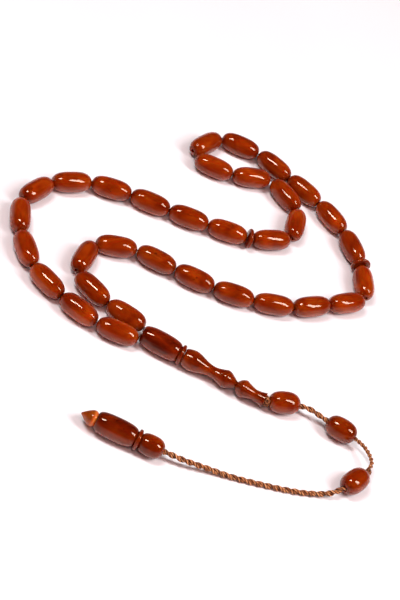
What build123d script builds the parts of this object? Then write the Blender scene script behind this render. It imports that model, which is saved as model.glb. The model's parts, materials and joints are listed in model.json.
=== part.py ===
from build123d import *
import math
import os

# Misbaha: a loop of 33 beads on one thread, a turned leader where the loop closes, and a tassel cord
# with three ovals and a turned pendant. It lies on a flat surface at z = 0. Millimetres, +Z up.
# The origin is on that surface, below the middle of the beads and turned pieces.

# Barrels have a long crown arc between two round shoulders, and a small flat face at each end.
BEAD_LENGTH = 15.7
BEAD_DIAMETER = 8.1
BEAD_SHOULDER = 2.9
BEAD_FACE_RADIUS = 0.8
BEAD_BORE = 1.4
BEADS_PER_GROUP = 11
PIECE_GAP = 0.2

# Discs are flat washers with a fully round rim.
DISC_THICKNESS = 1.6
DISC_DIAMETER = 7.8

THREAD_DIAMETER = 0.7
CORD_DIAMETER = 1.5
CORD_BORE = 2.3

# Leader: four pieces on one straight axis, drilled for two threads side by side.
LEADER_MOUTH = (-14.7, -35.9)
LEADER_HEADING = -1.0
LEADER_HEIGHT = 4.4
LEADER_BORE = 2.0
LEADER_MOUTH_RADIUS = 1.8
THREAD_SPACING = 0.8
LEADER_BARREL_LENGTH = 14.6
LEADER_BARREL_DIAMETER = 8.8
BIG_BARREL_SHOULDER = 2.0
BIG_BARREL_FACE_RADIUS = 2.1
VASE_LENGTH = 21.5
CUP_LENGTH = 11.5
CUP_RECESS_RADIUS = 2.1
CUP_RECESS_DEPTH = 1.5
LEADER_KNOT_RADIUS = 1.5

# Tassel: three ovals, a small knot, and a pendant of bead, disc, barrel and finial.
OVAL_LENGTH = 11.6
OVAL_DIAMETER = 8.5
OVAL_SHOULDER = 2.0
OVAL_FACE_RADIUS = 1.3
SMALL_KNOT_RADIUS = 1.2
SMALL_KNOT_DISTANCE = 3.0
PENDANT_BEAD_LENGTH = 8.7
PENDANT_BEAD_DIAMETER = 8.0
PENDANT_BEAD_SHOULDER = 2.0
PENDANT_BEAD_FACE_RADIUS = 1.25
PENDANT_BARREL_LENGTH = 14.9
PENDANT_BARREL_DIAMETER = 8.7
FINIAL_LENGTH = 5.6
FINIAL_BORE_DEPTH = 3.0

# Bends: a thread held in bores bends between them, and starts to bend just inside their mouths.
# A free cord's arcs take up most of the shorter run beside them.
BEND_INSET = 0.5
FREE_BEND_SHARE = 0.45

# The loop thread's route in plan: one point in each gap between two pieces, from the leader's mouth
# round the loop and back to it. Each bead or disc sits on the run between two points.
LOOP_ROUTE = [
    (-15.1, -39.5), (-31.5, -41.6), (-47.3, -38.1), (-62.2, -31.4), (-72.9, -19.1), (-79.4, -3.8),
    (-73.3, 11.9), (-60.5, 22.2), (-44.9, 26.6), (-29.1, 28.8), (-13.3, 31.8), (2.3, 35.6),
    (4.6, 36.5), (18.4, 46.5), (15.6, 63.9), (0.5, 72.7), (-14.3, 64.2), (-34.8, 61.8),
    (-26.1, 81.2), (-9.2, 83.2), (6.3, 78.7), (21.6, 73.7), (35.6, 65.5), (46.6, 53.6),
    (47.7, 51.5), (54.8, 35.9), (42.4, 24.0), (30.4, 13.2), (15.7, 6.5), (0.0, 2.7),
    (-16.0, 1.6), (-32.2, 1.3), (-47.7, -6.1), (-47.5, -24.2), (-31.6, -30.6), (-15.2, -32.3),
]
LOOP_HEIGHT = BEAD_DIAMETER / 2
MOUTH_STANDOFF = 0.5
MOUTH_CLEARANCE = 0.45

# The tassel cord's route, from the middle of the leader's knot to its end inside the finial. An oval
# sits on each of the runs in OVAL_RUNS, and the pendant on the last one.
CORD_ROUTE = [
    (35.6, -36.8, 4.4), (49.4, -29.3, 4.4), (57.0, -30.8, 4.3), (72.9, -32.5, 4.6),
    (78.4, -36.7, 5.2), (81.2, -41.7, 4.8), (73.5, -58.3, 3.9), (67.9, -61.5, 1.3),
    (58.6, -66.0, 0.9), (45.1, -70.7, 0.8), (36.1, -73.6, 0.9), (25.6, -77.1, 2.6),
    (15.4, -80.8, 4.4), (-17.7, -82.7, 4.4),
]
OVAL_RUNS = [0, 2, 5]
LAST_OVAL_RUN = OVAL_RUNS[-1]
OVAL_DISTANCES = [7.5, 8.2, 10.2]


def outline(*edges):
    """A closed outline: half sections are drawn with x as radius and y as station on the axis."""
    return make_face(Curve() + list(edges))


def turn(half_section):
    """Revolve a half section about Z."""
    return revolve(Plane.XZ * half_section, Axis.Z, 360)


def place(shape, centre, direction):
    """Put a piece that was turned about Z at centre, with its axis along direction."""
    return Plane(origin=centre, z_dir=direction) * shape


def barrel(length, diameter, shoulder, face_radius, bore):
    """A bored barrel, centred, with its axis along Z."""
    half = length / 2
    reach = half - shoulder
    rise = diameter / 2 - face_radius
    crown = (reach ** 2 + rise ** 2 - shoulder ** 2) / (2 * (rise - shoulder))
    crown_centre = diameter / 2 - crown
    blend = math.degrees(math.atan2(reach, face_radius - crown_centre))
    lower = CenterArc((face_radius, -reach), shoulder, -90, 90 - blend)
    middle = CenterArc((crown_centre, 0), crown, -blend, 2 * blend)
    upper = CenterArc((face_radius, reach), shoulder, blend, 90 - blend)
    wall = Polyline((face_radius, half), (bore / 2, half), (bore / 2, -half), (face_radius, -half))
    return turn(outline(lower, middle, upper, wall))


def disc(bore):
    """A bored disc with a fully round rim, centred, with its axis along Z."""
    half = DISC_THICKNESS / 2
    edge = DISC_DIAMETER / 2 - half
    rim = CenterArc((edge, 0), half, -90, 180)
    wall = Polyline((edge, half), (bore / 2, half), (bore / 2, -half), (edge, -half))
    return turn(outline(rim, wall))


def leader_barrel():
    """The barrel where the loop closes: its mouth is opened out for the two threads."""
    body = barrel(LEADER_BARREL_LENGTH, LEADER_BARREL_DIAMETER, BIG_BARREL_SHOULDER,
                  BIG_BARREL_FACE_RADIUS, LEADER_BORE)
    flare = LEADER_MOUTH_RADIUS - LEADER_BORE / 2
    funnel = Cone(LEADER_MOUTH_RADIUS, LEADER_BORE / 2, 2 * flare)
    return body - Pos(0, 0, flare - LEADER_BARREL_LENGTH / 2) * funnel


def leader_vase():
    """A full shoulder, a long taper to a waist, and a bulb. Its axis is Z, from z = 0."""
    side = Spline((2.3, 0), (3.45, 1.2), (4.0, 3.9), (2.95, 8.3), (2.25, 12.3), (3.5, 17.4),
                  (2.85, 19.6), (1.3, VASE_LENGTH))
    bore = LEADER_BORE / 2
    wall = Polyline((1.3, VASE_LENGTH), (bore, VASE_LENGTH), (bore, 0), (2.3, 0))
    return turn(outline(side, wall))


def leader_cup():
    """A bulb, a waist and a flared mouth with a round recess for the knot. It starts at z = 0."""
    side = Spline((1.3, 0), (2.85, 1.4), (3.45, 3.1), (2.15, 7.5), (2.9, CUP_LENGTH))
    bore = LEADER_BORE / 2
    floor = CUP_LENGTH - CUP_RECESS_DEPTH
    wall = Polyline((2.9, CUP_LENGTH), (CUP_RECESS_RADIUS, CUP_LENGTH), (bore + 0.4, floor),
                    (bore, floor), (bore, 0), (1.3, 0))
    return turn(outline(side, wall))


def finial():
    """A pointed cone with a round shoulder and a blind bore for the cord's end, from z = 0."""
    tip = 0.25
    side = Spline((2.3, 0), (3.05, 0.9), (1.9, 3.4), (tip, FINIAL_LENGTH))
    bore = CORD_DIAMETER / 2
    wall = Polyline((tip, FINIAL_LENGTH), (0, FINIAL_LENGTH), (0, FINIAL_BORE_DEPTH),
                    (bore, FINIAL_BORE_DEPTH), (bore, 0), (2.3, 0))
    return turn(outline(side, wall))


def unit(start, end):
    return (Vector(end) - Vector(start)).normalized()


def turns(points):
    """The turn in degrees at each inner point of a route."""
    runs = [unit(a, b) for a, b in zip(points, points[1:])]
    return [a.get_angle(b) for a, b in zip(runs, runs[1:])]


def standoff(turn_degrees, shoulder, face_radius):
    """How far a piece's end face stays from a point where the thread turns.

    The shoulder arc then stays half a gap from the plane that halves the turn.
    """
    half = math.radians(turn_degrees) / 2
    return (shoulder + PIECE_GAP / 2 + face_radius * math.sin(half)) / math.cos(half) - shoulder


def loop_sequence():
    """Node name, length, shoulder and face radius of each piece round the loop."""
    rim = DISC_THICKNESS / 2
    pieces = []
    for group in range(3):
        for place_in_group in range(BEADS_PER_GROUP):
            number = group * BEADS_PER_GROUP + place_in_group + 1
            pieces.append((f"bead_{number:02d}", BEAD_LENGTH, BEAD_SHOULDER, BEAD_FACE_RADIUS))
        if group < 2:
            pieces.append((f"loop_disc_{group + 1}", DISC_THICKNESS, rim, DISC_DIAMETER / 2 - rim))
    return pieces


def loop_pieces(route):
    """Place each piece between its two standoffs. Returns the shapes, the spare room in each run
    and the standoffs before and after each piece."""
    bead = barrel(BEAD_LENGTH, BEAD_DIAMETER, BEAD_SHOULDER, BEAD_FACE_RADIUS, BEAD_BORE)
    washer = disc(BEAD_BORE)
    bends = turns(route)
    shapes, spare, margins = {}, [], []
    for index, (name, length, shoulder, face_radius) in enumerate(loop_sequence()):
        start, end = Vector(route[index]), Vector(route[index + 1])
        before, after = MOUTH_STANDOFF, MOUTH_STANDOFF
        if index > 0:
            before = standoff(bends[index - 1], shoulder, face_radius)
        if index < len(bends):
            after = standoff(bends[index], shoulder, face_radius)
        room = (end - start).length - length - before - after
        direction = unit(start, end)
        centre = start + direction * (before + room / 2 + length / 2)
        shape = bead if name.startswith("bead") else washer
        shapes[name] = place(shape, centre, direction)
        spare.append(room)
        margins.append((before + room / 2, after + room / 2))
    return shapes, spare, margins


def bend_radius(turn_degrees, tangent_length):
    return tangent_length / math.tan(math.radians(turn_degrees) / 2)


def tube(route, radii, diameter):
    """A round tube along straight runs joined by tangent arcs."""
    path = FilletPolyline(*route, radius=radii)
    section = Plane(origin=path @ 0, z_dir=path % 0) * Circle(diameter / 2)
    return sweep(section, path)


def compare_volume(name, solid, route, radii, diameter):
    """Print a tube's radii, and its volume beside its section times its length."""
    length = FilletPolyline(*route, radius=radii).length
    expected = math.pi * diameter ** 2 / 4 * length
    print(f"{name}: length {length:.1f}, volume {solid.volume:.2f}, section x length {expected:.2f}")
    print("  radii", [round(radius, 1) for radius in radii])


def leader_frame():
    """The leader's axis: a point at its mouth, its direction, and the direction across it."""
    heading = math.radians(LEADER_HEADING)
    direction = Vector(math.cos(heading), math.sin(heading), 0)
    across = Vector(-math.sin(heading), math.cos(heading), 0)
    return Vector(*LEADER_MOUTH, LEADER_HEIGHT), direction, across


def leader_pieces():
    mouth, direction, _ = leader_frame()
    station = LEADER_BARREL_LENGTH / 2
    shapes = {"leader_barrel": place(leader_barrel(), mouth + direction * station, direction)}
    station = LEADER_BARREL_LENGTH + PIECE_GAP + DISC_THICKNESS / 2
    shapes["leader_disc"] = place(disc(LEADER_BORE), mouth + direction * station, direction)
    station += DISC_THICKNESS / 2 + PIECE_GAP
    shapes["leader_vase"] = place(leader_vase(), mouth + direction * station, direction)
    station += VASE_LENGTH + PIECE_GAP
    shapes["leader_cup"] = place(leader_cup(), mouth + direction * station, direction)
    return shapes


def loop_thread(route, margins):
    """The thread: out of the leader's bore, round the loop and back into the bore beside itself."""
    mouth, direction, across = leader_frame()
    knot = Vector(CORD_ROUTE[0])
    length = (knot - mouth).dot(direction) - LEADER_KNOT_RADIUS - PIECE_GAP
    side = across * (THREAD_SPACING / 2)
    before_mouth = direction * -MOUTH_CLEARANCE
    lead_in = [mouth + direction * length - side, mouth + before_mouth - side]
    lead_out = [mouth + before_mouth + side, mouth + direction * length + side]
    points = lead_in + [Vector(point) for point in route] + lead_out
    bends = turns(points)
    reach = [margins[0][0]] + [after for _, after in margins]
    mouth_reach = MOUTH_STANDOFF + BEND_INSET
    tangents = [mouth_reach] + [distance + BEND_INSET for distance in reach] + [mouth_reach]
    radii = [bend_radius(bend, tangent) for bend, tangent in zip(bends, tangents)]
    solid = tube(points, radii, THREAD_DIAMETER)
    compare_volume("loop_thread", solid, points, radii, THREAD_DIAMETER)
    return solid


def tassel_cord():
    """The free cord, from the middle of the leader's knot to the end of the finial's bore."""
    lengths = [(Vector(b) - Vector(a)).length for a, b in zip(CORD_ROUTE, CORD_ROUTE[1:])]
    shorter = [min(pair) for pair in zip(lengths, lengths[1:])]
    radii = [bend_radius(bend, FREE_BEND_SHARE * run) for bend, run in zip(turns(CORD_ROUTE), shorter)]
    solid = tube(CORD_ROUTE, radii, CORD_DIAMETER)
    compare_volume("tassel_cord", solid, CORD_ROUTE, radii, CORD_DIAMETER)
    return solid


def tassel_pieces(cord):
    """The ovals, the knots and the pendant. The knots are cut to fit the cord face to face."""
    oval = barrel(OVAL_LENGTH, OVAL_DIAMETER, OVAL_SHOULDER, OVAL_FACE_RADIUS, CORD_BORE)
    shapes = {}
    for number, (run, distance) in enumerate(zip(OVAL_RUNS, OVAL_DISTANCES), start=1):
        direction = unit(CORD_ROUTE[run], CORD_ROUTE[run + 1])
        shapes[f"oval_{number}"] = place(oval, Vector(CORD_ROUTE[run]) + direction * distance, direction)

    start, direction = CORD_ROUTE[0], unit(CORD_ROUTE[0], CORD_ROUTE[1])
    shapes["leader_knot"] = place(Sphere(LEADER_KNOT_RADIUS), start, direction) - cord
    entry, direction = Vector(CORD_ROUTE[LAST_OVAL_RUN]), unit(*CORD_ROUTE[LAST_OVAL_RUN:][:2])
    middle = entry + direction * SMALL_KNOT_DISTANCE
    shapes["small_knot"] = place(Sphere(SMALL_KNOT_RADIUS), middle, direction) - cord

    start, end = Vector(CORD_ROUTE[-2]), Vector(CORD_ROUTE[-1])
    direction = unit(start, end)
    small = barrel(PENDANT_BEAD_LENGTH, PENDANT_BEAD_DIAMETER, PENDANT_BEAD_SHOULDER,
                   PENDANT_BEAD_FACE_RADIUS, CORD_BORE)
    large = barrel(PENDANT_BARREL_LENGTH, PENDANT_BARREL_DIAMETER, BIG_BARREL_SHOULDER,
                   BIG_BARREL_FACE_RADIUS, CORD_BORE)
    finial_start = end - direction * FINIAL_BORE_DEPTH
    station = -PIECE_GAP - PENDANT_BARREL_LENGTH / 2
    shapes["pendant_finial"] = place(finial(), finial_start, direction)
    shapes["pendant_barrel"] = place(large, finial_start + direction * station, direction)
    station -= PENDANT_BARREL_LENGTH / 2 + PIECE_GAP + DISC_THICKNESS / 2
    shapes["pendant_disc"] = place(disc(CORD_BORE), finial_start + direction * station, direction)
    station -= DISC_THICKNESS / 2 + PIECE_GAP + PENDANT_BEAD_LENGTH / 2
    shapes["pendant_bead"] = place(small, finial_start + direction * station, direction)
    return shapes


def main():
    os.makedirs("parts", exist_ok=True)
    route = [(x, y, LOOP_HEIGHT) for x, y in LOOP_ROUTE]
    nodes, spare, margins = loop_pieces(route)
    print("spare room in the loop's runs:", round(min(spare), 2), "to", round(max(spare), 2))
    nodes["loop_thread"] = loop_thread(route, margins)
    nodes.update(leader_pieces())
    nodes["tassel_cord"] = tassel_cord()
    nodes.update(tassel_pieces(nodes["tassel_cord"]))
    for name, shape in nodes.items():
        export_step(shape, f"parts/{name}.step")


main()
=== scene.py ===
import json
import math
import random

import bpy
from mathutils import Euler, Matrix, Vector


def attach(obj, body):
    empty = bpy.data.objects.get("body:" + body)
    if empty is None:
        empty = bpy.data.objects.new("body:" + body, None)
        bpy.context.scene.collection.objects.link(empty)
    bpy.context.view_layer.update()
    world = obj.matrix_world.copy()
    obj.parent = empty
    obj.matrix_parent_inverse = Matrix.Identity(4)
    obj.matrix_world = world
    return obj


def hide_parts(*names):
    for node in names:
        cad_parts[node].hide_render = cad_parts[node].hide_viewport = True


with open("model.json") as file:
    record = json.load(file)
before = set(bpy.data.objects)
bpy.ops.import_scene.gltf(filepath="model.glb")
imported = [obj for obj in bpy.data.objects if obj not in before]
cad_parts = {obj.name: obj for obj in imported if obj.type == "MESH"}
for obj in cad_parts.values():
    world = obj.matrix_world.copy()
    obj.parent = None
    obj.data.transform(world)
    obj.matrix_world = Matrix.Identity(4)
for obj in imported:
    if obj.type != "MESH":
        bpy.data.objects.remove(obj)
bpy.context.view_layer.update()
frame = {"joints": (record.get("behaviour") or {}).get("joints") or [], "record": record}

# Misbaha: glossy amber resin beads on a thread, a turned leader, and a twisted cord with its pendant.
# Lengths in the functions are in millimetres, which MM turns into Blender's metres.
MM = 0.001

# Points round a turned piece, and steps along a barrel's outline.
SEGMENTS = 72
PROFILE_STEPS = 52

# The CAD's own sizes, repeated from part.py.
BEAD_LENGTH, BEAD_DIAMETER, BEAD_BORE = 15.7, 8.1, 1.4
DISC_THICKNESS, DISC_DIAMETER = 1.6, 7.8
LEADER_BARREL_LENGTH, LEADER_BARREL_DIAMETER = 14.6, 8.8
LEADER_BORE, LEADER_MOUTH_RADIUS = 2.0, 1.8
VASE_LENGTH, CUP_LENGTH = 21.5, 11.5
OVAL_LENGTH, OVAL_DIAMETER, CORD_BORE = 11.6, 8.5, 2.3
PENDANT_BEAD_LENGTH = 8.7
PENDANT_BARREL_LENGTH, PENDANT_BARREL_DIAMETER = 14.9, 8.7
FINIAL_LENGTH, FINIAL_BORE_DEPTH, FINIAL_BORE = 5.6, 3.0, 1.5
PIECE_GAP = 0.2
THREAD_DIAMETER, THREAD_SPACING = 0.7, 0.8
LEADER_KNOT_RADIUS = 1.5
SMALL_KNOT_DISTANCE = 3.0

# How far a turned piece stands past its CAD solid at each end, and how much further the leader's mouth does.
GROWTH = 0.095
MOUTH_GROWTH = 0.4
# The worn rim at a bore's mouth.
RIM = 0.06
# How far outside the leader's mouth the thread turns towards the first and last beads.
THREAD_STANDOFF = 0.8
THREAD_PITCH = 1.6

# The tassel cord's route, from the middle of the leader's knot to its end inside the finial.
CORD_ROUTE = [
    (35.6, -36.8, 4.4), (49.4, -29.3, 4.4), (57.0, -30.8, 4.3), (72.9, -32.5, 4.6),
    (78.4, -36.7, 5.2), (81.2, -41.7, 4.8), (73.5, -58.3, 3.9), (67.9, -61.5, 1.3),
    (58.6, -66.2, 1.1), (45.1, -71.0, 1.1), (36.1, -73.9, 1.1), (25.6, -77.1, 2.6),
    (15.4, -80.8, 4.4), (-17.7, -82.7, 4.4),
]
# The run of the route that holds the small knot and the third oval.
SMALL_KNOT_RUN = 5
# The rope along that route, as (distance from the start, radius, pitch).
CORD_SECTIONS = [
    (0, 0.75, 7.0), (11, 1.08, 7.4), (24, 1.04, 7.0), (33, 0.82, 3.4), (52, 0.82, 3.4),
    (60, 1.1, 6.6), (145, 1.1, 6.8), (154, 0.74, 6.8), (180, 0.7, 6.8),
]
# A strand's share of the rope's radius.
STRAND_SHARE = 0.54
# How much faster a strand's yarns turn than the rope does, and how much they press into each other.
YARN_TURNS, YARN_PRESS = 1.35, 1.12

# How bright the yarns are in turn, and each piece's resin beside its neighbours'.
YARN_SHADES = (0.3, 0.95, 0.1, 1.15, 0.1, 0.5, 0.16, 0.9)
SHADE = {
    "leader_disc": 0.7, "leader_vase": 0.68, "leader_cup": 0.76,
    "pendant_bead": 0.64, "pendant_disc": 0.68, "pendant_barrel": 0.62,
    "oval_1": 1.1, "oval_2": 0.85, "oval_3": 0.78,
}
# Painted shade: a darker zone at each end of a bored piece, where shade falls between it and its neighbour,
# which fades over END_DEPTH.
PAINTED_END_SHADE, END_DEPTH = 0.35, 1.0

JOINT = {joint["child"]: joint for joint in frame["joints"]}
BODY = {node: body for body, nodes in frame["record"]["behaviour"]["bodies"].items() for node in nodes}
SLOT = {part["node"]: part["material_slot"] for part in frame["record"]["subparts"]}


# ---------------------------------------------------------------- shader nodes

def new_material(name):
    material = bpy.data.materials.new(name)
    material.use_nodes = True
    return material, material.node_tree, material.node_tree.nodes["Principled BSDF"]


def add_node(tree, kind, **settings):
    """A shader node with its properties and unlinked inputs set: an input's name has _ for a space."""
    made = tree.nodes.new(kind)
    for key, value in settings.items():
        if hasattr(made, key):
            setattr(made, key, value)
        else:
            made.inputs[key.replace("_", " ")].default_value = value
    return made


def grain_vector(tree, scale=(1, 1, 1), turn=(0, 0, 0)):
    """A piece's own coordinates in millimetres, shifted by its seed, stretched and turned."""
    grain = add_node(tree, "ShaderNodeAttribute", attribute_name="grain")
    mapping = add_node(tree, "ShaderNodeMapping", Scale=scale, Rotation=turn)
    tree.links.new(grain.outputs["Vector"], mapping.inputs["Vector"])
    return mapping.outputs["Vector"]


def noise(tree, vector, **settings):
    made = add_node(tree, "ShaderNodeTexNoise", **settings)
    tree.links.new(vector, made.inputs["Vector"])
    return made.outputs["Fac"]


def ramp(tree, factor, *stops):
    """A colour ramp with (position, colour) stops."""
    made = tree.nodes.new("ShaderNodeValToRGB")
    elements = made.color_ramp.elements
    while len(elements) < len(stops):
        elements.new(0.5)
    for element, (position, colour) in zip(elements, stops):
        element.position = position
        element.color = (*colour, 1)
    tree.links.new(factor, made.inputs["Fac"])
    return made.outputs["Color"]


def mix(tree, factor, first, second, blend="MIX"):
    """Mix two colours. A number, a colour or an output may be given for each."""
    made = add_node(tree, "ShaderNodeMix", data_type="RGBA", blend_type=blend)
    for index, value in ((0, factor), (6, first), (7, second)):
        if isinstance(value, bpy.types.NodeSocket):
            tree.links.new(value, made.inputs[index])
        elif index:
            made.inputs[index].default_value = (*value, 1)
        else:
            made.inputs[index].default_value = value
    return made.outputs[2]


def grey(value):
    return (value, value, value)


def bump(tree, shader, height, strength, distance_mm):
    made = add_node(tree, "ShaderNodeBump", Strength=strength, Distance=distance_mm * MM)
    tree.links.new(height, made.inputs["Height"])
    tree.links.new(made.outputs["Normal"], shader.inputs["Normal"])


# ---------------------------------------------------------------- materials

def resin_colour(tree, deep, body, glow):
    """Cloudy zones, faint drawn-out streaks and rare dark flecks, times the piece's own tone, which holds
    painted shade at a bored piece's ends.
    """
    cloud = noise(tree, grain_vector(tree, (0.15, 0.15, 0.1)), Scale=1, Detail=2, Distortion=0.8)
    colour = ramp(tree, cloud, (0.34, deep), (0.5, body), (0.7, glow))
    streak = noise(tree, grain_vector(tree, (0.7, 0.7, 0.1), (0.4, 0.25, 0)), Scale=1, Detail=3,
                   Distortion=0.9)
    streaked = ramp(tree, streak, (0.34, grey(0.88)), (0.5, grey(1.0)), (0.68, grey(1.06)))
    colour = mix(tree, 1.0, colour, streaked, "MULTIPLY")
    fleck = noise(tree, grain_vector(tree, (0.45, 0.45, 0.3)), Scale=1, Detail=2)
    flecked = ramp(tree, fleck, (0.24, grey(0.4)), (0.31, grey(1.0)))
    colour = mix(tree, 1.0, colour, flecked, "MULTIPLY")
    tone = add_node(tree, "ShaderNodeAttribute", attribute_name="tone")
    return mix(tree, 1.0, colour, tone.outputs["Color"], "MULTIPLY")


def with_painted_base_glow(tree, colour, painted_base_glow):
    """The colour with a painted glow: a lighter band where a pointed piece meets its neighbour."""
    place = add_node(tree, "ShaderNodeTexCoord")
    split = add_node(tree, "ShaderNodeSeparateXYZ")
    tree.links.new(place.outputs["Object"], split.inputs["Vector"])
    band = add_node(tree, "ShaderNodeMapRange", From_Min=0.6 * MM, From_Max=1.7 * MM, To_Min=0.85, To_Max=0)
    tree.links.new(split.outputs["Z"], band.inputs["Value"])
    return mix(tree, band.outputs["Result"], colour, painted_base_glow)


def resin(name, deep, body, glow, painted_base_glow=None):
    """Cast resin that imitates amber: light scatters inside it, under a glossy and slightly uneven skin. A
    pointed piece's resin can have a painted glow at its base.
    """
    material, tree, shader = new_material(name)
    colour = resin_colour(tree, deep, body, glow)
    # Painted glow: a lighter band at a pointed piece's base.
    if painted_base_glow:
        colour = with_painted_base_glow(tree, colour, painted_base_glow)
    tree.links.new(colour, shader.inputs["Base Color"])

    wear = noise(tree, grain_vector(tree), Scale=0.8, Detail=5)
    rough = add_node(tree, "ShaderNodeMapRange", From_Min=0.35, From_Max=0.75, To_Min=0.015, To_Max=0.06)
    tree.links.new(wear, rough.inputs["Value"])
    tree.links.new(rough.outputs["Result"], shader.inputs["Roughness"])
    wave = noise(tree, grain_vector(tree, (0.3, 0.3, 0.16)), Scale=1, Detail=1)
    bump(tree, shader, wave, strength=0.1, distance_mm=0.12)

    shader.subsurface_method = "RANDOM_WALK"
    shader.inputs["Subsurface Weight"].default_value = 0.95
    shader.inputs["Subsurface Radius"].default_value = (1.0, 0.25, 0.08)
    shader.inputs["Subsurface Scale"].default_value = 3 * MM
    shader.inputs["IOR"].default_value = 1.52
    shader.inputs["Specular Tint"].default_value = (1.0, 0.8, 0.64, 1)
    return material


def fibre(name, dark, middle, light, metal):
    """Twisted yarn: each yarn has its own tone, and fine fibres run along it."""
    material, tree, shader = new_material(name)
    fine = noise(tree, grain_vector(tree, (1, 7, 7)), Scale=1.4, Detail=3)
    colour = ramp(tree, fine, (0.3, dark), (0.5, middle), (0.7, light))
    tone = add_node(tree, "ShaderNodeAttribute", attribute_name="tone")
    colour = mix(tree, 1.0, colour, tone.outputs["Color"], "MULTIPLY")
    tree.links.new(colour, shader.inputs["Base Color"])
    bump(tree, shader, fine, strength=0.6, distance_mm=0.06)
    shader.inputs["Metallic"].default_value = metal
    shader.inputs["Roughness"].default_value = 0.5
    shader.inputs["Specular IOR Level"].default_value = 0.2
    return material


def floor_material():
    material, tree, shader = new_material("white_board")
    place = add_node(tree, "ShaderNodeTexCoord")
    soft = noise(tree, place.outputs["Object"], Scale=9, Detail=2)
    colour = ramp(tree, soft, (0.3, (0.86, 0.845, 0.86)), (0.7, (0.9, 0.89, 0.9)))
    tree.links.new(colour, shader.inputs["Base Color"])
    shader.inputs["Roughness"].default_value = 0.32
    shader.inputs["Specular IOR Level"].default_value = 0.35
    return material


# ---------------------------------------------------------------- turned pieces

def smooth_outline(points, steps=7):
    """(radius, station) points joined by a Catmull-Rom curve through all of them."""
    padded = [points[0], *points, points[-1]]
    section = []
    for a, b, c, d in zip(padded, padded[1:], padded[2:], padded[3:]):
        for step in range(steps):
            t = step / steps
            weights = (-t ** 3 + 2 * t ** 2 - t, 3 * t ** 3 - 5 * t ** 2 + 2,
                       -3 * t ** 3 + 4 * t ** 2 + t, t ** 3 - t ** 2)
            section.append(tuple(sum(w * p[k] for w, p in zip(weights, (a, b, c, d))) / 2
                                 for k in range(2)))
    return section + [points[-1]]


def barrel_section(length, diameter, along, across, end_radius):
    """Half section of a barrel as (radius, station): a superellipse cut off at its end radius."""
    half = length / 2 + GROWTH
    cut = (1 - (2 * end_radius / diameter) ** across) ** (1 / along)
    limit = math.asin(cut)
    section = []
    for step in range(PROFILE_STEPS + 1):
        t = math.sin(limit * (2 * step / PROFILE_STEPS - 1))
        radius = diameter / 2 * (1 - abs(t) ** along) ** (1 / across)
        section.append((radius, t / cut * half))
    return section


def bored(section, bore):
    """A half section with the wall of its bore, which has a small worn rim at each mouth."""
    first, last = section[0][1], section[-1][1]
    return [(bore / 2, first + RIM), (bore / 2 + RIM, first), *section,
            (bore / 2 + RIM, last), (bore / 2, last - RIM)]


def big_barrel_section(length, diameter):
    """Half section of the leader's and pendant's barrels: a tapered crown between two flat faces."""
    half, widest = length / 2 + GROWTH, diameter / 2
    rising = [(2.75, -half), (3.2, -half + 0.28), (3.62, -half + 0.95), (3.98, -half + 2.1),
              (widest - 0.1, -half + 4.2), (widest, 0)]
    return smooth_outline(rising + [(radius, -station) for radius, station in reversed(rising[:-1])])


def leader_barrel_section():
    """The leader's barrel reaches a little nearer to the loop, and its mouth is opened out."""
    section = big_barrel_section(LEADER_BARREL_LENGTH, LEADER_BARREL_DIAMETER)
    start = section[0][1]
    side = [(radius, station - MOUTH_GROWTH * max(0, station / start)) for radius, station in section]
    start -= MOUTH_GROWTH
    flare = LEADER_MOUTH_RADIUS - LEADER_BORE / 2
    return [(LEADER_BORE / 2, start + 2 * flare), (LEADER_MOUTH_RADIUS, start + 0.05),
            (LEADER_MOUTH_RADIUS + 0.1, start), *side, (LEADER_BORE / 2 + RIM, side[-1][1]),
            (LEADER_BORE / 2, side[-1][1] - RIM)]


def pendant_bead_section():
    """A short barrel with a round end towards the cord and a flat face against the disc."""
    half = PENDANT_BEAD_LENGTH / 2 + GROWTH
    return smooth_outline([(1.35, -half), (2.3, -half + 0.35), (3.2, -half + 1.3), (3.8, -half + 2.7),
                           (4.0, 0.2), (3.88, half - 2.3), (3.5, half - 0.95), (3.05, half - 0.3),
                           (2.6, half)])


def disc_section():
    """Half section of a disc that thins towards a round rim."""
    half, edge = DISC_THICKNESS / 2 + GROWTH, DISC_DIAMETER / 2 + 0.05
    return smooth_outline([(2.3, -half), (edge - 1.0, -half + 0.04), (edge - 0.45, -0.66),
                           (edge - 0.1, -0.38), (edge, 0.0), (edge - 0.1, 0.38), (edge - 0.45, 0.66),
                           (edge - 1.0, half - 0.04), (2.3, half)])


def vase_section():
    """The vase's outline: a full shoulder, a waist and a bulb."""
    return smooth_outline([(2.7, -GROWTH), (3.1, 0.15), (3.55, 1.2), (3.97, 3.5), (3.55, 5.9),
                           (2.7, 8.4), (2.25, 10.3), (2.12, 11.9), (2.3, 13.4), (2.85, 15.2),
                           (3.42, 17.0), (3.1, 18.5), (2.2, 20.1), (1.3, VASE_LENGTH + GROWTH)])


def cup_section():
    """The cup's outline, its mouth, and the recess for the knot."""
    side = smooth_outline([(1.2, -GROWTH), (2.65, 1.2), (3.38, 2.9), (2.85, 4.6), (2.2, 6.7),
                           (2.08, 8.0), (2.35, 9.7), (2.85, CUP_LENGTH - 0.15)])
    return [(LEADER_BORE / 2, 0.0), *side, (2.8, CUP_LENGTH), (2.2, CUP_LENGTH), (1.4, CUP_LENGTH - 1.5),
            (LEADER_BORE / 2, CUP_LENGTH - 1.55)]


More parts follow.
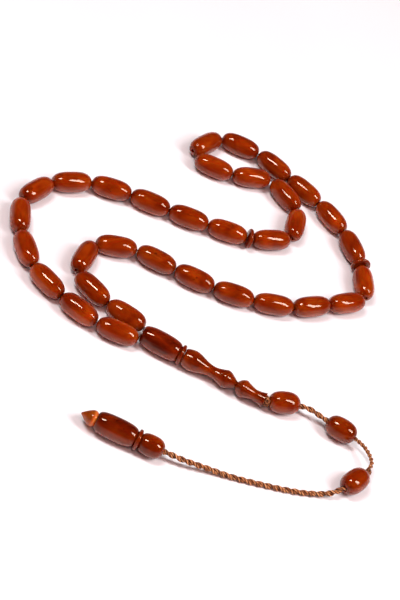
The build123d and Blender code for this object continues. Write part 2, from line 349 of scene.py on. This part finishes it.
def finial_section():
    """A pointed cone: its outline runs to the axis, and its bore is blind."""
    side = smooth_outline([(2.3, -GROWTH), (2.8, 0.45), (3.0, 1.25), (2.72, 2.3), (2.05, 3.4),
                           (1.2, 4.5), (0.3, FINIAL_LENGTH - 0.07)])
    return [(0.0, FINIAL_BORE_DEPTH), (FINIAL_BORE / 2, FINIAL_BORE_DEPTH), (FINIAL_BORE / 2, 0.05),
            (FINIAL_BORE / 2 + 0.05, -GROWTH), *side, (0.0, FINIAL_LENGTH)]


def smooth_mesh(name, points, faces):
    mesh = bpy.data.meshes.new(name)
    mesh.from_pydata(points, [], faces)
    mesh.validate()
    mesh.polygons.foreach_set("use_smooth", [True] * len(mesh.polygons))
    return mesh


def turned_rings(section):
    """The points of a half section turned about Z, and each station's ring of point numbers."""
    points, rings = [], []
    for radius, station in section:
        if radius < 1e-6:
            rings.append([len(points)] * SEGMENTS)
            points.append((0, 0, station * MM))
            continue
        rings.append(range(len(points), len(points) + SEGMENTS))
        for k in range(SEGMENTS):
            angle = 2 * math.pi * k / SEGMENTS
            points.append((radius * math.cos(angle) * MM, radius * math.sin(angle) * MM, station * MM))
    return points, rings


def lathe(name, section, closed, seed, tone):
    """Turn a half section about Z. A bored piece's section closes on itself down the bore's wall."""
    points, rings = turned_rings(section)
    faces = []
    for lower, upper in zip(rings, rings[1:] + (rings[:1] if closed else [])):
        for k in range(SEGMENTS):
            after = (k + 1) % SEGMENTS
            corners = [lower[k], lower[after], upper[after], upper[k]]
            faces.append(list(dict.fromkeys(corners)))
    mesh = smooth_mesh(name, points, faces)
    mesh.set_sharp_from_angle(angle=math.radians(38))
    offset = Vector((seed * 17.3, seed * 7.9, seed * 23.1))
    # A bored piece's tone gets painted shade towards both ends.
    tones = painted_end_shade_tones(points, tone) if closed else [tone] * len(points)
    set_grain(mesh, [Vector(point) / MM + offset for point in points], tones)
    return mesh


def painted_end_shade_tones(points, tone):
    """A bored piece's tone at each point, with painted shade: darker towards both ends, where neighbouring
    pieces shade it.
    """
    stations = [point[2] / MM for point in points]
    low, high = min(stations), max(stations)
    depths = [min(station - low, high - station) for station in stations]
    return [tone * (1 - PAINTED_END_SHADE * math.exp(-depth / END_DEPTH)) for depth in depths]


def set_grain(mesh, grain, tones):
    """Store each point's texture coordinates, and its tone, which may hold painted shade: a darker tone is
    redder too.
    """
    values = mesh.attributes.new("grain", "FLOAT_VECTOR", "POINT").data
    values.foreach_set("vector", [number for vector in grain for number in vector])
    values = mesh.attributes.new("tone", "FLOAT_COLOR", "POINT").data
    colours = [(tone, tone ** 1.3, tone ** 1.5, 1) for tone in tones]
    values.foreach_set("color", [number for colour in colours for number in colour])


def add_piece(name, mesh, material, node, place=None):
    """Show a mesh in place of a CAD node, on that node's body and with its slot."""
    mesh.materials.append(material)
    piece = bpy.data.objects.new(name, mesh)
    bpy.context.scene.collection.objects.link(piece)
    piece.matrix_world = place or Matrix.Identity(4)
    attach(piece, BODY[node])
    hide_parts(node)
    return piece


def on_axis(point, direction):
    """A matrix that puts a turned piece's origin at point and its Z along direction."""
    turn = Vector(direction).to_track_quat("Z", "Y").to_matrix().to_4x4()
    return Matrix.Translation(point) @ turn


def joint_place(node, shift=0.0):
    """The matrix of a piece whose middle is its own joint's place, moved by shift along the axis."""
    joint = JOINT[node]
    direction = Vector(joint["axis"])
    return on_axis(Vector(joint["pos_m"]) + direction * shift * MM, direction)


def end_piece_shapes():
    """The leader's and the pendant's pieces, as {node: (half section, place)}."""
    to_vase = LEADER_BARREL_LENGTH / 2 + PIECE_GAP * 2 + DISC_THICKNESS
    to_cup = to_vase + VASE_LENGTH + PIECE_GAP
    to_finial = PENDANT_BARREL_LENGTH / 2 + PIECE_GAP
    pendant_barrel = big_barrel_section(PENDANT_BARREL_LENGTH, PENDANT_BARREL_DIAMETER)
    return {
        "leader_barrel": (leader_barrel_section(), joint_place("leader_barrel")),
        "leader_disc": (bored(disc_section(), LEADER_BORE), joint_place("leader_disc")),
        "leader_vase": (bored(vase_section(), LEADER_BORE), joint_place("leader_barrel", to_vase)),
        "leader_cup": (cup_section(), joint_place("leader_barrel", to_cup)),
        "pendant_bead": (bored(pendant_bead_section(), CORD_BORE), joint_place("pendant_bead")),
        "pendant_disc": (bored(disc_section(), CORD_BORE), joint_place("pendant_disc")),
        "pendant_barrel": (bored(pendant_barrel, CORD_BORE), joint_place("pendant_barrel")),
        "pendant_finial": (finial_section(), joint_place("pendant_barrel", to_finial)),
    }


def turned_pieces(materials, rng):
    bead = barrel_section(BEAD_LENGTH, BEAD_DIAMETER, along=2.85, across=2.5, end_radius=0.85)
    oval = barrel_section(OVAL_LENGTH, OVAL_DIAMETER, along=2.5, across=2.4, end_radius=1.35)
    shapes = end_piece_shapes()
    for node in JOINT:
        if node.startswith("bead_"):
            shapes[node] = (bored(bead, BEAD_BORE), joint_place(node))
        elif node.startswith("loop_disc_"):
            shapes[node] = (bored(disc_section(), BEAD_BORE), joint_place(node))
        elif node.startswith("oval_"):
            shapes[node] = (bored(oval, CORD_BORE), joint_place(node))
    for seed, (node, (section, place)) in enumerate(shapes.items(), start=1):
        tone = rng.uniform(0.88, 1.12) * SHADE.get(node, 1.0)
        closed = node != "pendant_finial"
        mesh = lathe(f"{node}_turned", section, closed, seed, tone)
        add_piece(f"{node}_turned", mesh, materials[SLOT[node]], node, place)


# ---------------------------------------------------------------- thread and cord

def route_line(points):
    """Points along the smooth NURBS line that has the given points as its control points."""
    curve = bpy.data.curves.new("route", "CURVE")
    curve.dimensions = "3D"
    curve.resolution_u = 16
    spline = curve.splines.new("NURBS")
    spline.points.add(len(points) - 1)
    for control, point in zip(spline.points, points):
        control.co = (*point, 1)
    spline.order_u = 3
    spline.use_endpoint_u = True
    holder = bpy.data.objects.new("route", curve)
    mesh = bpy.data.meshes.new_from_object(holder)
    line = [vertex.co.copy() for vertex in mesh.vertices]
    bpy.data.meshes.remove(mesh)
    bpy.data.objects.remove(holder)
    bpy.data.curves.remove(curve)
    return line


def even_steps(line, step):
    """The line again with points about one step apart, and their exact spacing."""
    total = sum((b - a).length for a, b in zip(line, line[1:]))
    count = max(2, round(total / step))
    spacing = total / count
    points, along, wanted = [line[0].copy()], 0.0, spacing
    for a, b in zip(line, line[1:]):
        run = (b - a).length
        while run > 0 and wanted <= along + run + 1e-12 and len(points) < count:
            points.append(a.lerp(b, (wanted - along) / run))
            wanted += spacing
        along += run
    return points + [line[-1].copy()], spacing


def moving_frames(points):
    """At each point of a line, two directions across it that turn no more than the line does."""
    tangents = [(b - a).normalized() for a, b in zip(points, points[1:])]
    tangents.append(tangents[-1])
    side = tangents[0].orthogonal().normalized()
    frames = []
    for tangent in tangents:
        side = (side - tangent * side.dot(tangent)).normalized()
        frames.append((side.copy(), tangent.cross(side)))
    return frames


def tube_rings(centres, radii, sides):
    """Points and faces of a tube that is closed at both ends."""
    frames = moving_frames(centres)
    points, faces = [], []
    for centre, radius, (u, v) in zip(centres, radii, frames):
        for k in range(sides):
            angle = 2 * math.pi * k / sides
            points.append(centre + (u * math.cos(angle) + v * math.sin(angle)) * radius)
    for ring in range(len(centres) - 1):
        for k in range(sides):
            after = (k + 1) % sides
            base = ring * sides
            faces.append((base + k, base + after, base + sides + after, base + sides + k))
    faces.append(tuple(reversed(range(sides))))
    faces.append(tuple(range(len(points) - sides, len(points))))
    return points, faces


def yarn_mesh(name, tubes, sides, rng):
    """One mesh of several yarns: each tube is (centres, radii). Grain runs along each yarn."""
    points, faces, grain, tones = [], [], [], []
    for number, (centres, radii) in enumerate(tubes):
        tube_points, tube_faces = tube_rings(centres, radii, sides)
        base = len(points)
        points += tube_points
        faces += [tuple(base + corner for corner in face) for face in tube_faces]
        tone = YARN_SHADES[number % len(YARN_SHADES)] * rng.uniform(0.88, 1.12)
        step = (centres[1] - centres[0]).length / MM
        for index in range(len(centres)):
            for k in range(sides):
                angle = 2 * math.pi * k / sides
                around = math.cos(angle) * 0.3 + number * 5
                grain.append(Vector((index * step, around, math.sin(angle) * 0.3)))
                tones.append(tone)
    mesh = smooth_mesh(name, [tuple(point) for point in points], faces)
    set_grain(mesh, grain, tones)
    return mesh


def section_at(along, sections):
    """Radius and pitch at a distance along the cord, eased between (distance, radius, pitch) rows."""
    for (s0, *low), (s1, *high) in zip(sections, sections[1:]):
        if along <= s1:
            t = max(0.0, (along - s0) / (s1 - s0))
            t = t * t * (3 - 2 * t)
            return [a + (b - a) * t for a, b in zip(low, high)]
    return sections[-1][1:]


def twisted(line, step, sections, strands, yarns):
    """Yarns of a rope: strands turn about the line, and yarns turn the same way about each strand.

    sections are rows of (distance, rope radius, pitch). It returns the yarns and the rope's middle line.
    """
    points, spacing = even_steps(line, step * MM)
    frames = moving_frames(points)
    tubes = [([], []) for _ in range(strands * yarns)]
    phase = 0.0
    for index, (point, (u, v)) in enumerate(zip(points, frames)):
        radius, pitch = section_at(index * spacing / MM, sections)
        phase += 2 * math.pi * spacing / MM / pitch
        strand_radius = radius * STRAND_SHARE
        strand_offset = radius - strand_radius
        yarn_radius = strand_radius / (1 + 1 / math.sin(math.pi / yarns))
        yarn_offset = strand_radius - yarn_radius
        for strand in range(strands):
            angle = phase + 2 * math.pi * strand / strands
            out = u * math.cos(angle) + v * math.sin(angle)
            across = v * math.cos(angle) - u * math.sin(angle)
            middle = point + out * strand_offset * MM
            for yarn in range(yarns):
                inner = phase * YARN_TURNS + 2 * math.pi * yarn / yarns
                centre = middle + (out * math.cos(inner) + across * math.sin(inner)) * yarn_offset * MM
                centres, radii = tubes[strand * yarns + yarn]
                centres.append(centre)
                radii.append(yarn_radius * YARN_PRESS * MM)
    return tubes, points


def loop_thread(material, rng):
    """A two-ply thread through every bore, and out of the leader at both ends of the loop."""
    barrel = JOINT["leader_barrel"]
    direction = Vector(barrel["axis"])
    across = Vector((0, 0, 1)).cross(direction) * THREAD_SPACING / 2 * MM
    middle = Vector(barrel["pos_m"])
    inside = middle - direction * (LEADER_BARREL_LENGTH / 2 - 1.2) * MM
    outside = middle - direction * (LEADER_BARREL_LENGTH / 2 + THREAD_STANDOFF) * MM
    end = Vector(CORD_ROUTE[0]) * MM - direction * (LEADER_KNOT_RADIUS + PIECE_GAP) * MM
    threaded = []
    for node in JOINT:
        if node.startswith(("bead_", "loop_disc_")):
            half = (BEAD_LENGTH if node.startswith("bead_") else DISC_THICKNESS) / 2
            place, axis = Vector(JOINT[node]["pos_m"]), Vector(JOINT[node]["axis"])
            threaded += [place - axis * half * MM, place + axis * half * MM]
    first, last = threaded[0], threaded[-1]
    leave = Vector((outside.x, first.y, first.z))
    arrive = Vector((outside.x, last.y, last.z))
    controls = [end - across, inside - across, outside - across, leave, *threaded, arrive,
                outside + across, inside + across, end + across]
    line = route_line(controls)
    tubes, _ = twisted(line, 0.25, [(0, THREAD_DIAMETER / 2, THREAD_PITCH)], strands=2, yarns=2)
    mesh = yarn_mesh("loop_thread_plies", tubes, 6, rng)
    add_piece("loop_thread_plies", mesh, material, "loop_thread")


def winding(offset, across, yarn_radius, steps=360):
    """One yarn's closed weave, as (point on a unit ball, scale) pairs. A step of offset moves it by
    9 degrees of latitude."""
    spots = []
    for step in range(steps + 1):
        t = 2 * math.pi * step / steps
        latitude = math.radians(58) * math.cos(7 * t) + math.radians(9) * offset
        shrink = 1 - yarn_radius / across * (1 - 0.45 * math.sin(14 * t))
        spot = Vector((math.cos(latitude) * math.cos(4 * t), math.cos(latitude) * math.sin(4 * t),
                       math.sin(latitude)))
        spots.append((spot, shrink))
    return spots


def knot_mesh(name, centre, direction, across, along, yarn_radius, rng, loose_ends):
    """A knot: three yarns laid side by side and woven round a flattened ball, with loose ends."""
    turn = Vector(direction).to_track_quat("Z", "Y").to_matrix()
    reach = Vector((across, across, along))
    tubes = []
    for offset in (-1, 0, 1):
        centres = [centre + turn @ (spot * reach * shrink) * MM
                   for spot, shrink in winding(offset, across, yarn_radius)]
        tubes.append((centres, [yarn_radius * MM] * len(centres)))
    for _ in range(loose_ends):
        start = Vector((rng.uniform(-1, 1), rng.uniform(-1, 1), rng.uniform(-0.2, 0.6))).normalized()
        bend = Vector((rng.uniform(-1, 1), rng.uniform(-1, 1), rng.uniform(-1, 1))) * 0.5
        length = rng.uniform(0.6, 1.2)
        centres = [centre + turn @ (start * (across * 0.7 + length * t / 6) + bend * (t / 6) ** 2) * MM
                   for t in range(7)]
        tubes.append((centres, [0.09 * MM] * 7))
    return yarn_mesh(name, tubes, 7, rng)


def tassel_cord(material, rng):
    """The free cord with its two knots: a rope of two strands, which is thinner between the second
    and the third oval and where it goes into the pendant."""
    route = [Vector(point) * MM for point in CORD_ROUTE]
    line = route_line(route)
    tubes, path = twisted(line, 0.2, CORD_SECTIONS, strands=2, yarns=4)
    mesh = yarn_mesh("tassel_cord_yarns", tubes, 7, rng)
    cord = add_piece("tassel_cord_yarns", mesh, material, "tassel_cord")

    start = (route[1] - route[0]).normalized()
    knot = knot_mesh("leader_knot_windings", route[0] + start * 0.2 * MM, start, across=2.1, along=1.35,
                     yarn_radius=0.28, rng=rng, loose_ends=6)
    leader_knot = add_piece("leader_knot_windings", knot, material, "leader_knot")
    entry = route[SMALL_KNOT_RUN]
    run = (route[SMALL_KNOT_RUN + 1] - entry).normalized()
    knot = knot_mesh("small_knot_windings", entry + run * SMALL_KNOT_DISTANCE * MM, run, across=1.3,
                     along=1.3, yarn_radius=0.24, rng=rng, loose_ends=7)
    small_knot = add_piece("small_knot_windings", knot, material, "small_knot")


# ---------------------------------------------------------------- floor, light and camera

def floor():
    """A square white board, six metres across."""
    half = 3.0
    corners = [(-half, -half, 0), (half, -half, 0), (half, half, 0), (-half, half, 0)]
    mesh = bpy.data.meshes.new("floor")
    mesh.from_pydata(corners, [], [(0, 1, 2, 3)])
    mesh.materials.append(floor_material())
    board = bpy.data.objects.new("floor", mesh)
    bpy.context.scene.collection.objects.link(board)


def softbox(name, direction, distance, width, height, power, colour=(1.0, 0.975, 0.985), in_gloss=True):
    """A flat light that faces the beads, with its width square to Y. in_gloss: whether the resin's
    gloss mirrors it."""
    light = bpy.data.lights.new(name, "AREA")
    light.shape = "RECTANGLE"
    light.size = width
    light.size_y = height
    light.energy = power
    light.color = colour
    box = bpy.data.objects.new(name, light)
    box.visible_glossy = in_gloss
    bpy.context.scene.collection.objects.link(box)
    out = Vector(direction).normalized()
    wide = Vector((out.z, 0, -out.x)).normalized()
    turn = Matrix((wide, out.cross(wide), out)).transposed()
    box.matrix_world = Matrix.Translation(out * distance) @ turn.to_4x4()


def surroundings():
    """A dark studio that is pale near the horizon."""
    world = bpy.data.worlds.new("studio")
    bpy.context.scene.world = world
    world.use_nodes = True
    tree = world.node_tree
    place = add_node(tree, "ShaderNodeTexCoord")
    split = add_node(tree, "ShaderNodeSeparateXYZ")
    tree.links.new(place.outputs["Generated"], split.inputs["Vector"])
    colour = ramp(tree, split.outputs["Z"], (0.0, (0.9, 0.88, 0.9)), (0.1, (0.45, 0.44, 0.45)),
                  (0.24, (0.03, 0.028, 0.03)), (0.5, (0.012, 0.011, 0.012)))
    tree.links.new(colour, tree.nodes["Background"].inputs["Color"])


def camera():
    """Looks down at 45 degrees from 740 mm away, rolled so that the leader runs down to the right."""
    target = Vector((-2.4, -2.5, 0)) * MM
    elevation, distance = math.radians(45.0), 740 * MM
    back = Vector((0, -math.cos(elevation), math.sin(elevation)))
    data = bpy.data.cameras.new("camera")
    data.lens = 118
    data.sensor_width = 36
    view = bpy.data.objects.new("camera", data)
    bpy.context.scene.collection.objects.link(view)
    view.location = target + back * distance
    facing = (-back).to_track_quat("-Z", "Y")
    roll = Euler((0, 0, math.radians(28))).to_quaternion()
    view.rotation_euler = (facing @ roll).to_euler()
    bpy.context.scene.camera = view


def lights():
    """Two softboxes that the resin mirrors as streaks, and two fills that it doesn't mirror."""
    softbox("key_light", (0.61, -0.06, 0.79), 1.2, 0.69, 0.27, 11)
    softbox("left_light", (-0.38, -0.14, 0.91), 1.2, 0.43, 0.22, 8.5)
    softbox("warm_fill", (0.05, -0.5, 0.85), 1.3, 0.6, 0.6, 5, (1.0, 0.55, 0.52), in_gloss=False)
    softbox("top_fill", (0, 0, 1), 1.3, 1.6, 1.6, 1.8, in_gloss=False)


def make_materials():
    """The material of each slot. The resins' colours are those of deep, middling and bright zones."""
    return {
        "amber_resin": resin("amber_resin", (0.19, 0.014, 0.0007), (0.26, 0.024, 0.0008),
                             (0.35, 0.044, 0.002)),
        "dark_resin": resin("dark_resin", (0.09, 0.005, 0.0005), (0.2, 0.014, 0.0008),
                            (0.3, 0.032, 0.002)),
        # The clear resin's last colour is a painted glow at the finial's base.
        "clear_resin": resin("clear_resin", (0.11, 0.015, 0.002), (0.36, 0.065, 0.004),
                             (0.48, 0.11, 0.01), painted_base_glow=(0.72, 0.2, 0.03)),
        "thread": fibre("thread", (0.06, 0.012, 0.005), (0.16, 0.04, 0.015), (0.3, 0.1, 0.04), metal=0.0),
        "cord": fibre("cord", (0.3, 0.05, 0.01), (0.66, 0.24, 0.075), (1.0, 0.62, 0.33), metal=0.1),
    }


def main():
    rng = random.Random(33)
    camera()
    floor()
    lights()
    surroundings()
    bpy.context.scene.view_settings.view_transform = "Standard"

    materials = make_materials()
    turned_pieces(materials, rng)
    loop_thread(materials["thread"], rng)
    tassel_cord(materials["cord"], rng)


main()
